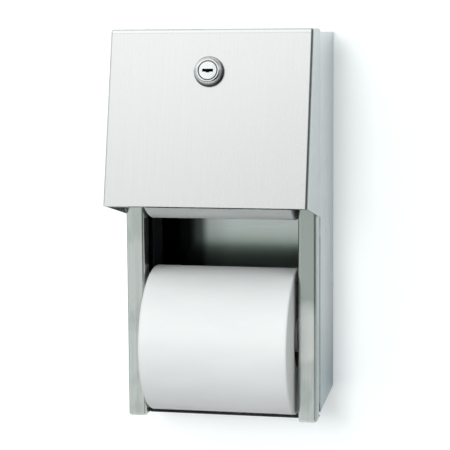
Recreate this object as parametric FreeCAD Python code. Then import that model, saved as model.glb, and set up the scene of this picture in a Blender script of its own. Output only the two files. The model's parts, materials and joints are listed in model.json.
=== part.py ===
import FreeCAD, Part
import math
import os

# Surface-mounted toilet paper dispenser in folded stainless sheet. One roll hangs in the open lower half
# and a second one waits behind a locked door above it. Millimetres.
# X runs to the viewer's right, Y into the wall and Z up.
# The origin is the middle of the four wall screws, on the back face of the cabinet.
# "Depth" is always a distance forward from the wall, so it is -Y.

V = FreeCAD.Vector

# Paper rolls
ROLL_DIAMETER = 114.0
ROLL_WIDTH = 114.3
ROLL_EDGE_R = 1.2
CORE_BORE = 40.0
CORE_WALL = 0.8
CORE_TO_PAPER = 0.05
ROLL_GAP = 38.2
ROLL_TO_BACK = 11.4
ROLL_TO_STRAP = 1.6
ROLL_TO_LEG = 3.0
HEADROOM = 28.8

# Sheet metal
SHEET = 0.9
SCREW_SPACING_X = 76.2
SCREW_SPACING_Z = 203.2
SCREW_HOLE_R = 3.2
BACK_FLANGE = 12.0
TOP_FLANGE = 10.0
TOP_FLANGE_END_GAP = 1.0
TOP_OVERHANG = 13.3
TOP_LIP = 11.0
SIDE_FRONT_RISE = 4.8
SIDE_REAR_RISE = 10.2
LEG_WIDTH = 14.3
LEG_INSET = 0.3
LEG_OUTER_FLANGE = 17.5
LEG_INNER_FLANGE = 13.8
LEG_BEND_R = 2.2
FOOT_BEND_R = 2.0
FOOT_MARGIN = 2.2
STRAP_WIDTH = 14.0
STRAP_SETBACK = 0.9
RELIEF_WIDTH = 4.6
RELIEF_HEIGHT = 10.0
RELIEF_RISE = 2.6

# Spindle track behind each leg
TRACK_CLEARANCE = 0.6
GUIDE_WIDTH = 27.7
GUIDE_FOOT_TO_FLANGE = 8.0
GUIDE_BELOW_SEAT = 12.0
GUIDE_TO_TOP = 6.0
GUIDE_TO_LEG = 0.3
SEAT_GAP = 0.3
SEAT_REACH = 9.4

# Telescoping spindles
BARREL_R = 14.0
JOURNAL_R = 7.0
SPINDLE_END_PLAY = 3.85
BARREL_END_PLAY = 2.15
CORE_HANG_GAP = 0.3
SLEEVE_BORE_R = 11.5
SLEEVE_FLOOR = 8.0
SLEEVE_LENGTH = 78.0
MOUTH_LIP = 2.0
SLIDE_CLEARANCE = 0.3
NECK_STEP = 0.6
PLUNGER_GUIDE = 32.0
PLUNGER_BORE_R = 8.0
PLUNGER_HEAD_WALL = 8.0
PLUNGER_STROKE = 12.5
STROKE_GAP = 0.5
SPRING_R = 9.5
SPRING_WIRE_R = 0.6
SPRING_TURNS = 8
SPRING_END_GAP = 0.15

# Drop levers that hold up the spare roll
LEVER_SHEET = 1.5
LEVER_SIDE_GAP = 0.95
LEVER_HUB_R = 4.5
LEVER_HUB_GAP = 0.15
LEVER_BOSS_R = 6.0
LEVER_PIVOT_BEHIND = 14.7
LEVER_TIP_PAST = 5.7
LEVER_SHELF_PAST_SPINDLE = 0.2
LEVER_SHELF_START = 10.0
LEVER_TIP_HEIGHT = 4.0
LEVER_PIN_R = 2.5
PIN_FIT = 0.05
PIN_HEAD_R = 4.0
PIN_HEAD = 1.1
PIN_TAIL = 0.6
PRESS_FIT = 0.02
CLIP = 0.8
CLIP_R = 4.5
COIL_R = 4.0
COIL_WIRE_R = 0.45
COIL_TURNS = 3
COIL_PITCH = 1.4
COIL_SIDE_GAP = 0.25
COIL_LEG_GAP = 0.3
COIL_FRONT_LEG = 19.0

# Door
DOOR_SIDE_GAP = 0.55
DOOR_TOP_GAP = 1.7
DOOR_TOP_PROUD = 27.6
DOOR_BOTTOM_PROUD = 57.8
DOOR_DROP = 128.9
DOOR_CORNER_DROP = 13.5
DOOR_LAP = 7.8
DOOR_BEND_R = 1.8
DOOR_HEM = 7.0
HINGE_TO_BEND = 0.1
HINGE_RISE = 6.9
STUD_R = 1.6
BUSH_WALL = 0.6
BUSH_COLLAR_R = 2.8
BUSH_COLLAR = 0.8
BUSH_SPACER = 0.5
STUD_CLIP_GAP = 0.1
STUD_CLIP = 0.8
STUD_TAIL = 0.4

# Lock
LOCK_DROP = 32.0
LOCK_FLANGE_R = 11.3
LOCK_FLANGE = 0.9
LOCK_DOME_BULGE = 0.9
LOCK_COLLAR_R = 8.25
LOCK_PROUD = 5.6
LOCK_BARREL_R = 8.0
LOCK_BARREL = 13.0
LOCK_HOLE_GAP = 0.1
PLUG_R = 6.0
PLUG_FIT = 0.05
PLUG_FACE_R = 7.0
PLUG_FACE_GAP = 0.15
PLUG_RING_BEVEL = 0.45
PLUG_FACE = 2.2
PLUG_SUNK = 0.2
PLUG_SEAT_GAP = 0.3
PLUG_TAIL = 0.5
KEYWAY_WIDTH = 8.2
KEYWAY_HEIGHT = 2.2
KEYWAY_DEPTH = 8.0
KEYWAY_STEP = 0.6
SHANK = 6.0
CAM_SHEET = 1.9
CAM_REACH = 19.0
CAM_WIDTH = 11.0
CAM_HOLE_GAP = 0.05
CAM_GAP = 0.1
CAM_SCREW_R = 1.9
CAM_SCREW_HEAD_R = 4.5
CAM_SCREW_HEAD = 2.1
CAM_SCREW_LENGTH = 6.0
NUT_FLATS = 22.0
NUT = 3.5
NUT_FIT = 0.05
KEEPER_SHEET = 1.2
KEEPER_WIDTH = 24.0
KEEPER_GAP = 0.7
KEEPER_OVERLAP = 6.2
KEEPER_ABOVE_CAM = 1.6
KEEPER_TOP_GAP = 0.5

# Heights, from the stack of rolls
ROLL_R = ROLL_DIAMETER / 2
HEIGHT = SHEET + ROLL_TO_STRAP + 2 * ROLL_DIAMETER + ROLL_GAP + HEADROOM + SHEET + DOOR_TOP_GAP + SHEET
Z_TOP = HEIGHT / 2
Z_FOOT = -HEIGHT / 2
Z_CABINET = Z_TOP - SHEET - DOOR_TOP_GAP
Z_UNDER_TOP = Z_CABINET - SHEET
Z_LOWER_ROLL = Z_FOOT + SHEET + ROLL_TO_STRAP + ROLL_R
Z_UPPER_ROLL = Z_LOWER_ROLL + ROLL_DIAMETER + ROLL_GAP
HANG = CORE_BORE / 2 - BARREL_R - CORE_HANG_GAP
Z_LOWER_SPINDLE = Z_LOWER_ROLL + HANG
Z_UPPER_SPINDLE = Z_UPPER_ROLL + HANG

# Depths, from the rolls forward
ROLL_DEPTH = SHEET + ROLL_TO_BACK + ROLL_R
TRACK_REAR = ROLL_DEPTH - JOURNAL_R - TRACK_CLEARANCE
TRACK_FRONT = ROLL_DEPTH + JOURNAL_R + TRACK_CLEARANCE
LEG_FRONT = TRACK_FRONT + LEG_INNER_FLANGE
SIDE_DEPTH = LEG_FRONT - LEG_OUTER_FLANGE
TOP_FRONT = LEG_FRONT + TOP_OVERHANG
GUIDE_REAR = TRACK_REAR - GUIDE_WIDTH

# Widths, from the middle out
HALF_ROLL = ROLL_WIDTH / 2
LEG_IN = HALF_ROLL + ROLL_TO_LEG
LEG_OUT = LEG_IN + LEG_WIDTH
SIDE_OUT = LEG_OUT + LEG_INSET
SIDE_IN = SIDE_OUT - SHEET
DOOR_IN = SIDE_OUT + DOOR_SIDE_GAP
DOOR_OUT = DOOR_IN + SHEET
JOURNAL_END = SIDE_IN - SPINDLE_END_PLAY
BARREL_END = LEG_IN - BARREL_END_PLAY

# Door profile: the face leans out towards the bottom
DOOR_TOP_DEPTH = LEG_FRONT + DOOR_TOP_PROUD
DOOR_BOTTOM_DEPTH = LEG_FRONT + DOOR_BOTTOM_PROUD
DOOR_REAR = LEG_FRONT - DOOR_LAP
Z_DOOR_BOTTOM = Z_TOP - DOOR_DROP
Z_DOOR_CORNER = Z_DOOR_BOTTOM - DOOR_CORNER_DROP
FACE_LENGTH = math.hypot(DOOR_BOTTOM_DEPTH - DOOR_TOP_DEPTH, DOOR_DROP)
FACE_D = (DOOR_BOTTOM_DEPTH - DOOR_TOP_DEPTH) / FACE_LENGTH
FACE_Z = -DOOR_DROP / FACE_LENGTH
TILT = math.degrees(math.asin(FACE_D))
HINGE_DEPTH = LEG_FRONT - LEG_BEND_R - BUSH_COLLAR_R - HINGE_TO_BEND
HINGE_Z = Z_DOOR_CORNER + HINGE_RISE

# Lock place on the face, and the depth and height of a point of it, back from the face and up along it
LOCK_DEPTH = DOOR_TOP_DEPTH + LOCK_DROP * FACE_D
LOCK_Z = Z_TOP + LOCK_DROP * FACE_Z
CAM_FRONT = LOCK_BARREL + PLUG_TAIL + CAM_GAP


def lock_depth(back, up):
    return LOCK_DEPTH + back * FACE_Z - up * FACE_D


def lock_height(back, up):
    return LOCK_Z - back * FACE_D - up * FACE_Z


def slab(x0, x1, depth0, depth1, z0, z1):
    return Part.makeBox(x1 - x0, depth1 - depth0, z1 - z0, V(x0, -depth1, z0))


def rod(x0, x1, depth, z, radius):
    return Part.makeCylinder(radius, x1 - x0, V(x0, -depth, z), V(1, 0, 0))


def prism(points, x0, x1):
    corners = [V(x0, -depth, z) for depth, z in points]
    outline = Part.makePolygon(corners + corners[:1])
    return Part.Face(outline).extrude(V(x1 - x0, 0, 0))


def fuse(shapes):
    return shapes[0].multiFuse(shapes[1:]).removeSplitter()


def mirrored(shape):
    return shape.mirror(V(0, 0, 0), V(1, 0, 0))


def edges_where(shape, test):
    return [edge for edge in shape.Edges if test(edge.CenterOfMass, edge)]


def save(name, *shapes):
    shape = shapes[0] if len(shapes) == 1 else Part.makeCompound(list(shapes))
    shape.exportStep("parts/" + name + ".step")


def save_pair(name, right):
    save("right_" + name, right)
    save("left_" + name, mirrored(right))


# Cabinet


def back_panel():
    width = SIDE_IN
    z0 = Z_FOOT + SIDE_REAR_RISE
    web = slab(-width, width, 0, SHEET, z0, Z_UNDER_TOP)
    right = slab(width - SHEET, width, 0, BACK_FLANGE, z0, Z_UNDER_TOP)
    panel = fuse([web, right, mirrored(right)])
    for x in (-SCREW_SPACING_X / 2, SCREW_SPACING_X / 2):
        for z in (-SCREW_SPACING_Z / 2, SCREW_SPACING_Z / 2):
            panel = panel.cut(Part.makeCylinder(SCREW_HOLE_R, 3 * SHEET, V(x, -2 * SHEET, z), V(0, 1, 0)))
    return panel


def side_panel():
    profile = [
        (0, Z_FOOT + SIDE_REAR_RISE),
        (SIDE_DEPTH, Z_FOOT + SIDE_FRONT_RISE),
        (SIDE_DEPTH, Z_UNDER_TOP),
        (0, Z_UNDER_TOP),
    ]
    return prism(profile, SIDE_IN, SIDE_OUT)


def top_panel():
    plate = slab(-SIDE_OUT, SIDE_OUT, 0, TOP_FRONT, Z_UNDER_TOP, Z_CABINET)
    lip = slab(-SIDE_OUT, SIDE_OUT, TOP_FRONT - SHEET, TOP_FRONT, Z_UNDER_TOP - TOP_LIP, Z_CABINET)
    flange_rear = BACK_FLANGE + TOP_FLANGE_END_GAP
    flange_front = SIDE_DEPTH - TOP_FLANGE_END_GAP
    right = slab(SIDE_IN - SHEET, SIDE_IN, flange_rear, flange_front, Z_UNDER_TOP - TOP_FLANGE, Z_CABINET)
    return fuse([plate, lip, right, mirrored(right)])


def leg_channel():
    block = slab(LEG_IN, LEG_OUT, SIDE_DEPTH, LEG_FRONT, Z_FOOT, Z_UNDER_TOP)
    front = edges_where(block, lambda c, e: abs(c.y + LEG_FRONT) < 0.01 and e.BoundBox.ZLength > LEG_WIDTH)
    block = block.makeFillet(LEG_BEND_R, front)
    low = edges_where(block, lambda c, e: c.z < Z_FOOT + 0.01 and c.y < -SIDE_DEPTH - 0.01)
    block = block.makeFillet(FOOT_BEND_R, low)
    void = slab(LEG_IN + SHEET, LEG_OUT - SHEET, 0, LEG_FRONT - SHEET, Z_FOOT + SHEET, Z_TOP)
    front = edges_where(void, lambda c, e: abs(c.y + LEG_FRONT - SHEET) < 0.01 and e.BoundBox.ZLength > LEG_WIDTH)
    void = void.makeFillet(LEG_BEND_R - SHEET, front)
    low = edges_where(void, lambda c, e: c.z < Z_FOOT + SHEET + 0.01 and c.y < -SHEET)
    void = void.makeFillet(FOOT_BEND_R - SHEET, low)
    leg = block.cut(void)
    leg = leg.cut(slab(LEG_IN - 1, LEG_IN + LEG_WIDTH / 2, 0, TRACK_FRONT, Z_FOOT + FOOT_BEND_R, Z_TOP))
    foot = slab(LEG_IN, LEG_OUT - FOOT_MARGIN, strap_rear(), SIDE_DEPTH + FOOT_MARGIN, Z_FOOT, Z_FOOT + SHEET)
    leg = fuse([leg, foot])
    relief_z = Z_FOOT + RELIEF_RISE
    relief = slab(LEG_OUT - 2 * SHEET, LEG_OUT, 0, SIDE_DEPTH + RELIEF_WIDTH, relief_z, relief_z + RELIEF_HEIGHT)
    bush_hole = rod(LEG_OUT - 2 * SHEET, LEG_OUT + SHEET, HINGE_DEPTH, HINGE_Z, bush_r())
    return leg.cut(relief).cut(bush_hole)


def strap_front():
    return TRACK_FRONT - STRAP_SETBACK


def strap_rear():
    return strap_front() - STRAP_WIDTH


def bottom_tie_strap():
    return slab(-LEG_IN, LEG_IN, strap_rear(), strap_front(), Z_FOOT, Z_FOOT + SHEET)


def seat_z():
    return Z_LOWER_SPINDLE - JOURNAL_R - SEAT_GAP


def rear_guide():
    x0 = LEG_IN
    z0 = seat_z() - GUIDE_BELOW_SEAT
    z1 = Z_UNDER_TOP - TOP_FLANGE - GUIDE_TO_TOP
    plate = slab(x0, x0 + SHEET, GUIDE_REAR, TRACK_REAR, z0, z1)
    stop = slab(x0, x0 + SHEET, GUIDE_REAR, TRACK_FRONT - GUIDE_TO_LEG, z0, seat_z())
    seat = slab(x0, x0 + SHEET + SEAT_REACH, TRACK_REAR, TRACK_FRONT - GUIDE_TO_LEG, seat_z() - SHEET, seat_z())
    web = slab(x0, SIDE_IN, GUIDE_REAR, GUIDE_REAR + SHEET, z0, z1)
    foot = slab(SIDE_IN - SHEET, SIDE_IN, BACK_FLANGE + GUIDE_FOOT_TO_FLANGE, GUIDE_REAR + SHEET, z0, z1)
    guide = fuse([plate, stop, seat, web, foot])
    return guide.cut(rod(x0 - SHEET, x0 + 2 * SHEET, pivot_depth(), pivot_z(), LEVER_PIN_R + PRESS_FIT))


# Spindles and rolls


def spindle_sleeve(z):
    journal = rod(-JOURNAL_END, -BARREL_END, ROLL_DEPTH, z, JOURNAL_R)
    mouth = SLEEVE_LENGTH - BARREL_END
    barrel = rod(-BARREL_END, mouth, ROLL_DEPTH, z, BARREL_R)
    bore = rod(SLEEVE_FLOOR - BARREL_END, mouth - MOUTH_LIP, ROLL_DEPTH, z, SLEEVE_BORE_R)
    lip = rod(mouth - 2 * MOUTH_LIP, mouth + MOUTH_LIP, ROLL_DEPTH, z, SLEEVE_BORE_R - NECK_STEP)
    return fuse([journal, barrel]).cut(bore).cut(lip)


def spindle_plunger(z):
    mouth = SLEEVE_LENGTH - BARREL_END
    guide_r = SLEEVE_BORE_R - SLIDE_CLEARANCE
    guide_end = mouth - MOUTH_LIP - SLIDE_CLEARANCE
    head_start = mouth + PLUNGER_STROKE + STROKE_GAP
    guide = rod(guide_end - PLUNGER_GUIDE, guide_end, ROLL_DEPTH, z, guide_r)
    neck = rod(guide_end, head_start, ROLL_DEPTH, z, guide_r - NECK_STEP)
    head = rod(head_start, BARREL_END, ROLL_DEPTH, z, BARREL_R)
    journal = rod(BARREL_END, JOURNAL_END, ROLL_DEPTH, z, JOURNAL_R)
    bore = rod(guide_end - PLUNGER_GUIDE - 1, BARREL_END - PLUNGER_HEAD_WALL, ROLL_DEPTH, z, PLUNGER_BORE_R)
    return fuse([guide, neck, head, journal]).cut(bore)


def helix_tube(radius, wire_r, pitch, turns, rear_leg=0, front_leg=0):
    # The coil starts and ends at the top of its turn, and its legs leave along the wire there.
    rise = pitch / (2 * math.pi * radius)
    coil = Part.makeHelix(pitch, pitch * turns, radius).Edges
    edges = list(coil)
    start = V(radius, 0, 0)
    if rear_leg:
        far = V(radius, -rear_leg, -rear_leg * rise)
        edges.insert(0, Part.makeLine(far, start))
        start = far
    if front_leg:
        end = V(radius, 0, pitch * turns)
        edges.append(Part.makeLine(end, end + V(0, front_leg, front_leg * rise)))
    # The wire's outline is two half rounds, because one closed round leaves a seam that won't mesh shut.
    halves = [Part.makeCircle(wire_r, start, V(0, 1, rise), turn, turn + 180) for turn in (0, 180)]
    tube = Part.Wire(edges).makePipeShell([Part.Wire(halves)], True, False)
    tube.rotate(V(0, 0, 0), V(0, 1, 0), 90)
    tube.rotate(V(0, 0, 0), V(1, 0, 0), 180)
    return tube


def spindle_spring(z):
    start = SLEEVE_FLOOR - BARREL_END + SPRING_END_GAP + SPRING_WIRE_R
    mouth = SLEEVE_LENGTH - BARREL_END
    end = mouth - MOUTH_LIP - SLIDE_CLEARANCE - PLUNGER_GUIDE - SPRING_END_GAP - SPRING_WIRE_R
    spring = helix_tube(SPRING_R, SPRING_WIRE_R, (end - start) / SPRING_TURNS, SPRING_TURNS)
    spring.translate(V(start, -ROLL_DEPTH, z))
    return spring


def roll_core(z):
    tube = rod(-HALF_ROLL, HALF_ROLL, ROLL_DEPTH, z, CORE_BORE / 2 + CORE_WALL)
    return tube.cut(rod(-HALF_ROLL - 1, HALF_ROLL + 1, ROLL_DEPTH, z, CORE_BORE / 2))


def roll_paper(z):
    paper = rod(-HALF_ROLL, HALF_ROLL, ROLL_DEPTH, z, ROLL_R)
    rims = edges_where(paper, lambda c, e: e.BoundBox.XLength < 0.01)
    paper = paper.makeFillet(ROLL_EDGE_R, rims)
    bore_r = CORE_BORE / 2 + CORE_WALL + CORE_TO_PAPER
    return paper.cut(rod(-HALF_ROLL - 1, HALF_ROLL + 1, ROLL_DEPTH, z, bore_r))


# Drop levers


def shelf_z():
    return Z_UPPER_SPINDLE - JOURNAL_R - SEAT_GAP


def pivot_depth():
    return TRACK_REAR - LEVER_PIVOT_BEHIND


def pivot_z():
    return shelf_z() - LEVER_SHEET - COIL_LEG_GAP - COIL_WIRE_R - COIL_R


def lever_x():
    return LEG_IN + SHEET + LEVER_SIDE_GAP


def coil_x():
    return lever_x() + LEVER_SHEET + COIL_SIDE_GAP + COIL_WIRE_R


def clip_x():
    return coil_x() + COIL_TURNS * COIL_PITCH + COIL_WIRE_R + COIL_SIDE_GAP


def drop_lever():
    x0 = lever_x()
    depth = pivot_depth()
    z = pivot_z()
    tip = ROLL_DEPTH + LEVER_TIP_PAST
    start = depth + LEVER_SHELF_START
    arm = prism(
        [
            (depth, z + LEVER_BOSS_R),
            (start, shelf_z()),
            (tip, shelf_z()),
            (tip, shelf_z() - LEVER_TIP_HEIGHT),
            (start, z - LEVER_BOSS_R / 2),
            (depth, z - LEVER_BOSS_R),
        ],
        x0,
        x0 + LEVER_SHEET,
    )
    boss = rod(x0, x0 + LEVER_SHEET, depth, z, LEVER_BOSS_R)
    hub = rod(LEG_IN + SHEET + LEVER_HUB_GAP, x0 + LEVER_SHEET, depth, z, LEVER_HUB_R)
    shelf = slab(x0, JOURNAL_END + LEVER_SHELF_PAST_SPINDLE, start, tip, shelf_z() - LEVER_SHEET, shelf_z())
    lever = fuse([arm, boss, hub, shelf])
    return lever.cut(rod(LEG_IN, x0 + 2 * LEVER_SHEET, depth, z, LEVER_PIN_R + PIN_FIT))


def lever_spring():
    rear_leg = pivot_depth() - GUIDE_REAR - SHEET - COIL_LEG_GAP
    spring = helix_tube(COIL_R, COIL_WIRE_R, COIL_PITCH, COIL_TURNS, rear_leg, COIL_FRONT_LEG)
    spring.translate(V(coil_x(), -pivot_depth(), pivot_z()))
    return spring


def lever_pin():
    head = rod(LEG_IN - PIN_HEAD, LEG_IN, pivot_depth(), pivot_z(), PIN_HEAD_R)
    shank = rod(LEG_IN, clip_x() + CLIP + PIN_TAIL, pivot_depth(), pivot_z(), LEVER_PIN_R)
    return fuse([head, shank])


def lever_clip():
    ring = rod(clip_x(), clip_x() + CLIP, pivot_depth(), pivot_z(), CLIP_R)
    return ring.cut(rod(clip_x() - 1, clip_x() + CLIP + 1, pivot_depth(), pivot_z(), LEVER_PIN_R + PRESS_FIT))


# Door


def door_profile(inset, past):
    n_d = -FACE_Z
    n_z = FACE_D
    z_top = Z_TOP - inset
    along = (inset * n_z - inset) / FACE_Z
    top_front = (
        DOOR_TOP_DEPTH - inset * n_d + along * FACE_D,
        Z_TOP - inset * n_z + along * FACE_Z,
    )
    low_front = (
        DOOR_BOTTOM_DEPTH - inset * n_d + past * FACE_D,
        Z_DOOR_BOTTOM - inset * n_z + past * FACE_Z,
    )
    return [(DOOR_REAR - past, z_top), top_front, low_front, (DOOR_REAR - past, Z_DOOR_CORNER - past)]


def folded_block(profile, half_width, radius):
    block = prism(profile, -half_width, half_width)
    top_front = profile[1]
    low_front = profile[2]

    def is_bend(c, edge):
        on_top = abs(c.z - top_front[1]) < 0.01
        across = abs(c.x) < 0.01 and on_top and abs(c.y + top_front[0]) < 0.01
        top_side = abs(c.x) > 0.01 and on_top
        face_side = abs(c.x) > 0.01 and abs(c.z - (top_front[1] + low_front[1]) / 2) < 0.01
        return across or top_side or (face_side and c.y < -(top_front[0] + low_front[0]) / 2 + 0.01)

    return block.makeFillet(radius, edges_where(block, is_bend))


def door_cover():
    outer = folded_block(door_profile(0, 0), DOOR_OUT, DOOR_BEND_R)
    inner = folded_block(door_profile(SHEET, DOOR_CORNER_DROP), DOOR_IN, DOOR_BEND_R - SHEET)
    pan = outer.cut(inner)
    n_d = -FACE_Z
    n_z = FACE_D
    hem_front = (DOOR_BOTTOM_DEPTH - SHEET * n_d / 2, Z_DOOR_BOTTOM - SHEET * n_z / 2)
    hem_back = (DOOR_BOTTOM_DEPTH - DOOR_HEM * n_d, Z_DOOR_BOTTOM - DOOR_HEM * n_z)
    hem = prism(
        [
            hem_front,
            hem_back,
            (hem_back[0] - SHEET * FACE_D, hem_back[1] - SHEET * FACE_Z),
            (hem_front[0] - SHEET * FACE_D, hem_front[1] - SHEET * FACE_Z),
        ],
        -DOOR_IN,
        DOOR_IN,
    )
    hole = placed(Part.makeCylinder(LOCK_BARREL_R + LOCK_HOLE_GAP, 4 * SHEET, V(0, 0, -2 * SHEET)))
    return fuse([pan, hem]).cut(hole)


def bush_r():
    return STUD_R + PIN_FIT + BUSH_WALL


def hinge_stud():
    x0 = LEG_OUT - SHEET - BUSH_COLLAR - STUD_CLIP_GAP - STUD_CLIP - STUD_TAIL
    return rod(x0, DOOR_IN, HINGE_DEPTH, HINGE_Z, STUD_R)


def hinge_clip():
    x1 = LEG_OUT - SHEET - BUSH_COLLAR - STUD_CLIP_GAP
    ring = rod(x1 - STUD_CLIP, x1, HINGE_DEPTH, HINGE_Z, BUSH_COLLAR_R)
    return ring.cut(rod(x1 - 2 * STUD_CLIP, x1 + STUD_CLIP, HINGE_DEPTH, HINGE_Z, STUD_R + PRESS_FIT))


def hinge_bush():
    inner = LEG_OUT - SHEET
    collar = rod(inner - BUSH_COLLAR, inner, HINGE_DEPTH, HINGE_Z, BUSH_COLLAR_R)
    barrel = rod(inner, LEG_OUT + BUSH_SPACER, HINGE_DEPTH, HINGE_Z, bush_r())
    bore = rod(inner - 2 * BUSH_COLLAR, DOOR_OUT, HINGE_DEPTH, HINGE_Z, STUD_R + PIN_FIT)
    return fuse([collar, barrel]).cut(bore)


# Lock, drawn with its axis along Z and the door face at Z 0, then laid on the leaning face


def placed(shape):
    turn = FreeCAD.Rotation(V(1, 0, 0), 90 - TILT)
    shape.Placement = FreeCAD.Placement(V(0, -LOCK_DEPTH, LOCK_Z), turn)
    return shape


def lock_bezel():
    # A low dome on a thin rim, turned from half of its section.
    rim = V(LOCK_FLANGE_R, 0, LOCK_FLANGE)
    ring = V(LOCK_COLLAR_R, 0, LOCK_PROUD)
    out = V(ring.z - rim.z, 0, rim.x - ring.x).normalize()
    dome = Part.Arc(rim, (rim + ring) / 2 + out * LOCK_DOME_BULGE, ring).toShape()
    corners = [ring, V(0, 0, LOCK_PROUD), V(0, 0, 0), V(LOCK_FLANGE_R, 0, 0), rim]
    section = Part.Face(Part.Wire([dome] + [Part.makeLine(a, b) for a, b in zip(corners, corners[1:])]))
    return section.revolve(V(0, 0, 0), V(0, 0, 1), 360)


def lock_housing():
    barrel = Part.makeCylinder(LOCK_BARREL_R, LOCK_BARREL, V(0, 0, -LOCK_BARREL))
    bore = Part.makeCylinder(PLUG_R + PLUG_FIT, 2 * LOCK_BARREL + LOCK_PROUD, V(0, 0, -2 * LOCK_BARREL))
    seat_z0 = LOCK_PROUD - PLUG_SUNK - PLUG_FACE - PLUG_SEAT_GAP
    seat_r = PLUG_FACE_R + PLUG_FACE_GAP
    seat = Part.makeCylinder(seat_r, LOCK_PROUD, V(0, 0, seat_z0))
    bevel = Part.makeCone(seat_r, seat_r + 2 * PLUG_RING_BEVEL, 2 * PLUG_RING_BEVEL, V(0, 0, LOCK_PROUD - PLUG_RING_BEVEL))
    return placed(fuse([lock_bezel(), barrel]).cut(bore).cut(seat).cut(bevel))


def lock_plug():
    face_top = LOCK_PROUD - PLUG_SUNK
    tail = -LOCK_BARREL - PLUG_TAIL
    face = Part.makeCylinder(PLUG_FACE_R, PLUG_FACE, V(0, 0, face_top - PLUG_FACE))
    rim = edges_where(face, lambda c, e: abs(c.z - face_top) < 0.01)
    face = face.makeChamfer(PLUG_RING_BEVEL, rim)
    body = Part.makeCylinder(PLUG_R, face_top - PLUG_FACE - tail, V(0, 0, tail))
    shank_length = CAM_SHEET + CAM_GAP
    shank = Part.makeBox(SHANK, SHANK, shank_length, V(-SHANK / 2, -SHANK / 2, tail - shank_length))
    plug = fuse([face, body, shank])
    z0 = face_top - KEYWAY_DEPTH
    keyway = Part.makeBox(KEYWAY_WIDTH, KEYWAY_HEIGHT, KEYWAY_DEPTH + 1, V(-KEYWAY_WIDTH / 2, -KEYWAY_HEIGHT / 2, z0))
    groove = Part.makeBox(
        KEYWAY_WIDTH / 3, KEYWAY_HEIGHT, KEYWAY_DEPTH + 1, V(-KEYWAY_WIDTH / 6, -KEYWAY_HEIGHT / 2 - KEYWAY_STEP, z0)
    )
    screw = Part.makeCylinder(CAM_SCREW_R + PRESS_FIT, CAM_SCREW_LENGTH + 1, V(0, 0, tail - shank_length - 1))
    return placed(plug.cut(keyway).cut(groove).cut(screw))


def lock_cam():
    z1 = -CAM_FRONT
    disc = Part.makeCylinder(CAM_WIDTH / 2, CAM_SHEET, V(0, 0, z1 - CAM_SHEET))
    arm = Part.makeBox(CAM_REACH - CAM_WIDTH / 2, CAM_WIDTH, CAM_SHEET, V(CAM_WIDTH / 2 - CAM_REACH, -CAM_WIDTH / 2, z1 - CAM_SHEET))
    end = Part.makeCylinder(CAM_WIDTH / 2, CAM_SHEET, V(CAM_WIDTH / 2 - CAM_REACH, 0, z1 - CAM_SHEET))
    hole_half = SHANK / 2 + CAM_HOLE_GAP
    hole = Part.makeBox(2 * hole_half, 2 * hole_half, 3 * CAM_SHEET, V(-hole_half, -hole_half, z1 - 2 * CAM_SHEET))
    return placed(fuse([disc, arm, end]).cut(hole))


def cam_screw():
    top = -CAM_FRONT - CAM_SHEET
    head = Part.makeCylinder(CAM_SCREW_HEAD_R, CAM_SCREW_HEAD, V(0, 0, top - CAM_SCREW_HEAD))
    shank = Part.makeCylinder(CAM_SCREW_R, CAM_SCREW_LENGTH, V(0, 0, top))
    slot = Part.makeBox(2 * CAM_SCREW_HEAD_R, 1, 1, V(-CAM_SCREW_HEAD_R, -0.5, top - CAM_SCREW_HEAD))
    return placed(fuse([head, shank]).cut(slot))


def lock_nut():
    corner = NUT_FLATS / 2 / math.cos(math.pi / 6)
    points = [V(corner * math.cos(i * math.pi / 3), corner * math.sin(i * math.pi / 3), -SHEET) for i in range(6)]
    hexagon = Part.Face(Part.makePolygon(points + points[:1])).extrude(V(0, 0, -NUT))
    return placed(hexagon.cut(Part.makeCylinder(LOCK_BARREL_R + NUT_FIT, 4 * NUT, V(0, 0, -3 * NUT))))


def lock_keeper():
    z_low = lock_height(CAM_FRONT, CAM_REACH - KEEPER_OVERLAP)
    depth = lock_depth(CAM_FRONT, CAM_REACH - KEEPER_OVERLAP) + KEEPER_GAP
    z_web = lock_height(CAM_FRONT, CAM_REACH) + KEEPER_ABOVE_CAM
    half = KEEPER_WIDTH / 2
    tab = slab(-half, half, depth, depth + KEEPER_SHEET, z_low, z_web)
    web = slab(-half, half, TOP_FRONT, depth + KEEPER_SHEET, z_web, z_web + KEEPER_SHEET)
    flange = slab(-half, half, TOP_FRONT, TOP_FRONT + KEEPER_SHEET, z_web, Z_UNDER_TOP - KEEPER_TOP_GAP)
    return fuse([tab, web, flange])


os.makedirs("parts", exist_ok=True)

save("back_panel", back_panel())
save_pair("side_panel", side_panel())
save("top_panel", top_panel())
save_pair("leg_channel", leg_channel())
save("bottom_tie_strap", bottom_tie_strap())
save_pair("rear_guide", rear_guide())
save("lock_keeper", lock_keeper())
save("hinge_bushes", hinge_bush(), mirrored(hinge_bush()))
save("lever_pins", lever_pin(), mirrored(lever_pin()))
save("lever_clips", lever_clip(), mirrored(lever_clip()))

save("door_cover", door_cover())
save("hinge_studs", hinge_stud(), mirrored(hinge_stud()))
save("hinge_clips", hinge_clip(), mirrored(hinge_clip()))
save("lock_housing", lock_housing())
save("lock_nut", lock_nut())
save("lock_plug", lock_plug())
save("lock_cam", lock_cam())
save("cam_screw", cam_screw())

for place, spindle_z, roll_z in (
    ("lower", Z_LOWER_SPINDLE, Z_LOWER_ROLL),
    ("upper", Z_UPPER_SPINDLE, Z_UPPER_ROLL),
):
    save(place + "_spindle_sleeve", spindle_sleeve(spindle_z))
    save(place + "_spindle_plunger", spindle_plunger(spindle_z))
    save(place + "_spindle_spring", spindle_spring(spindle_z))
    save(place + "_roll_core", roll_core(roll_z))
    save(place + "_roll_paper", roll_paper(roll_z))

save_pair("drop_lever", drop_lever())
save_pair("lever_spring", lever_spring())
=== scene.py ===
import json
import math

import bmesh
import bpy
from mathutils import Matrix, Vector


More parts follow.
